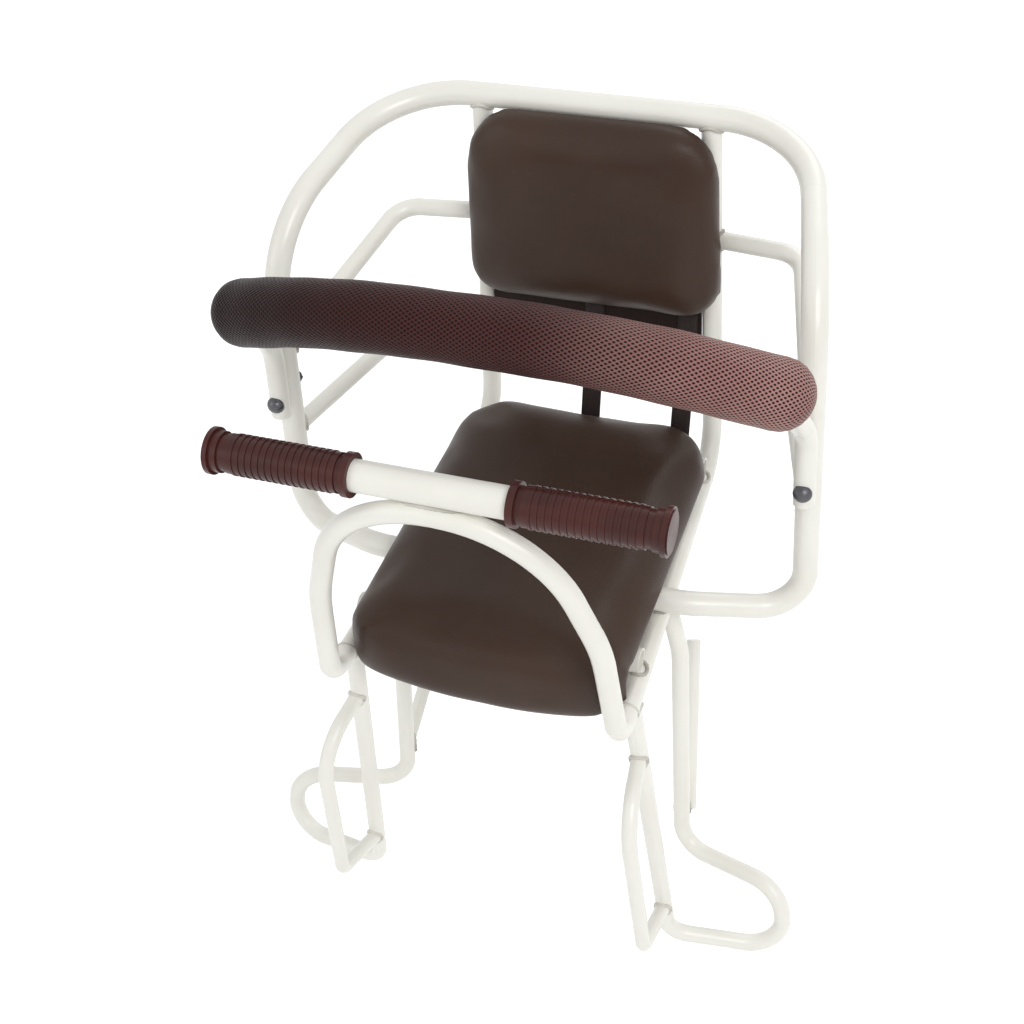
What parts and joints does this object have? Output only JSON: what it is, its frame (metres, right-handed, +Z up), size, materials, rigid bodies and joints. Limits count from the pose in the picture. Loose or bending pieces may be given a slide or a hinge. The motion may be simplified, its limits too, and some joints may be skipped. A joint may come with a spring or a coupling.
{
  "type": "rear child bike seat",
  "caption": "Child seat for a bicycle's rear carrier: steel tube frame with guard loop, padded guard bar, front hoop with grab bar, cushions and hanging foot loops.",
  "frame": {"origin": "centre of the rack bolt pattern, on the underside of the two flat rack straps", "axes": "+Z up, the seat faces -Y (direction of travel), +X to the left hand side of a child in the seat"},
  "size_m": [0.4676, 0.3875, 0.6276],
  "materials": {
    "frame_paint": "smooth warm white enamel over welded steel tube",
    "foam_cover": "dark maroon knitted cover over foam",
    "upholstery": "dark brown leatherette over foam",
    "grip_rubber": "dark red-brown ribbed rubber",
    "board": "plywood board painted dark",
    "webbing": "dark woven polyester strap",
    "fasteners": "zinc plated steel"
  },
  "bodies": {
    "root": {"guard_loop": "frame_paint", "front_hoop": "frame_paint", "seat_rail_left": "frame_paint", "seat_rail_right": "frame_paint", "upper_arm_left": "frame_paint", "upper_arm_right": "frame_paint", "lower_arm_left": "frame_paint", "lower_arm_right": "frame_paint", "front_crossbar": "frame_paint", "rear_crossbar": "frame_paint", "front_rack_strap": "frame_paint", "rear_rack_strap": "frame_paint", "back_bar_upper": "frame_paint", "back_bar_lower": "frame_paint", "grab_bar": "frame_paint", "grip_left": "grip_rubber", "grip_right": "grip_rubber", "guard_bar_core": "frame_paint", "guard_bar_pad": "foam_cover", "guard_bolts": "fasteners", "guard_nuts": "fasteners", "seat_board": "board", "seat_pad": "upholstery", "seat_bolts": "fasteners", "back_board": "board", "back_pad": "upholstery", "back_screws": "fasteners", "webbing_middle": "webbing", "webbing_side": "webbing", "foot_rod_left": "frame_paint", "foot_rod_right": "frame_paint", "foot_guard_left": "frame_paint", "foot_guard_right": "frame_paint", "rear_stay_left": "frame_paint", "rear_stay_right": "frame_paint"}
  },
  "joints": []
}
